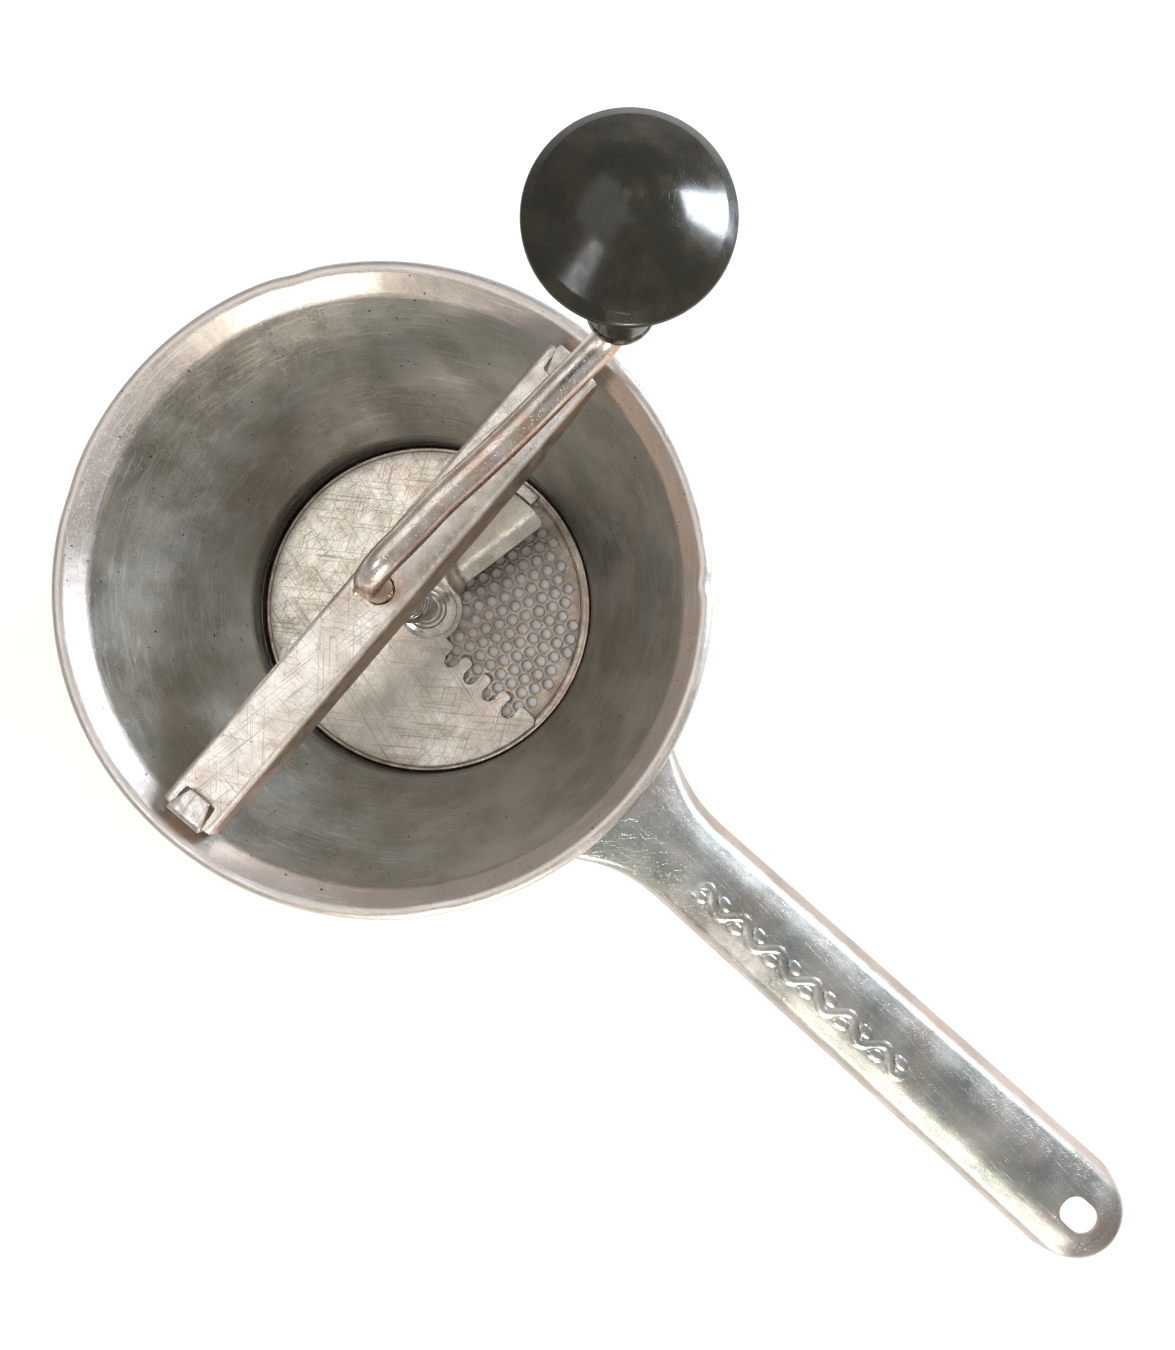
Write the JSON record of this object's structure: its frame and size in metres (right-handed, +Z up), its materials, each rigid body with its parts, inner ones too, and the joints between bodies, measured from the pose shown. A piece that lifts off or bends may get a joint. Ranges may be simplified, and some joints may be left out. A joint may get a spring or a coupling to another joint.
{
  "type": "rotary food mill",
  "caption": "Hand-cranked food mill: conical steel bowl with a long handle, straining disc in its throat and a crank-driven presser blade under a bridge.",
  "frame": {"origin": "on the crank's axis, at the bottom face of the bowl's throat, which the mill stands on", "axes": "+Z up along the crank's axis, +X along the bowl's handle towards its hanging slot"},
  "size_m": [0.4039, 0.2215, 0.1866],
  "materials": {
    "tinned_steel": "satin tinned sheet, fine random scratches, dulled inside",
    "handle_steel": "satin tinned sheet, worn bright on the shoulders",
    "disc_steel": "punched tinned sheet, bright hole edges",
    "bridge_steel": "satin plated strip with a little rust",
    "lug_steel": "bright plated strip",
    "rod_steel": "polished plated rod, worn",
    "pin_brass": "dull peened pin",
    "hub_steel": "bright turned steel",
    "blade_steel": "satin tinned sheet with circular wear",
    "spring_steel": "drawn wire",
    "black_bakelite": "glossy moulded black with an olive cast"
  },
  "bodies": {
    "bowl": {"bowl": "tinned_steel", "rim_wire": "tinned_steel", "handle": "handle_steel", "straining_disc": "disc_steel", "bridge": "bridge_steel", "bridge_lug_left": "lug_steel", "bridge_lug_right": "lug_steel", "spring_washer_upper": "lug_steel"},
    "thrust_washer": {"spring_washer_lower": "lug_steel", "pressure_spring": "spring_steel"},
    "crank": {"crank_rod": "rod_steel", "stop_pin": "pin_brass", "spring_pin": "rod_steel", "hub_pin": "rod_steel", "hub": "hub_steel", "presser_blade": "blade_steel", "knob_washer": "rod_steel", "spindle_clip": "spring_steel"},
    "knob": {"knob": "black_bakelite", "knob_sleeve": "rod_steel"}
  },
  "joints": [
    {"name": "blade_lift", "type": "slide", "parent": "bowl", "child": "thrust_washer", "axis": [0, 0, 1], "range_m": [0, 0.004], "stiffness_N_per_m": 1500, "springref_m": -0.012, "deforming": ["pressure_spring"]},
    {"name": "crank_turn", "type": "hinge", "parent": "thrust_washer", "child": "crank", "pos_m": [0, 0, 0.05], "axis": [0, 0, 1], "continuous": true},
    {"name": "knob_spin", "type": "hinge", "parent": "crank", "child": "knob", "pos_m": [0.00604, 0.09872, 0.15], "axis": [0, 0, 1], "continuous": true}
  ]
}
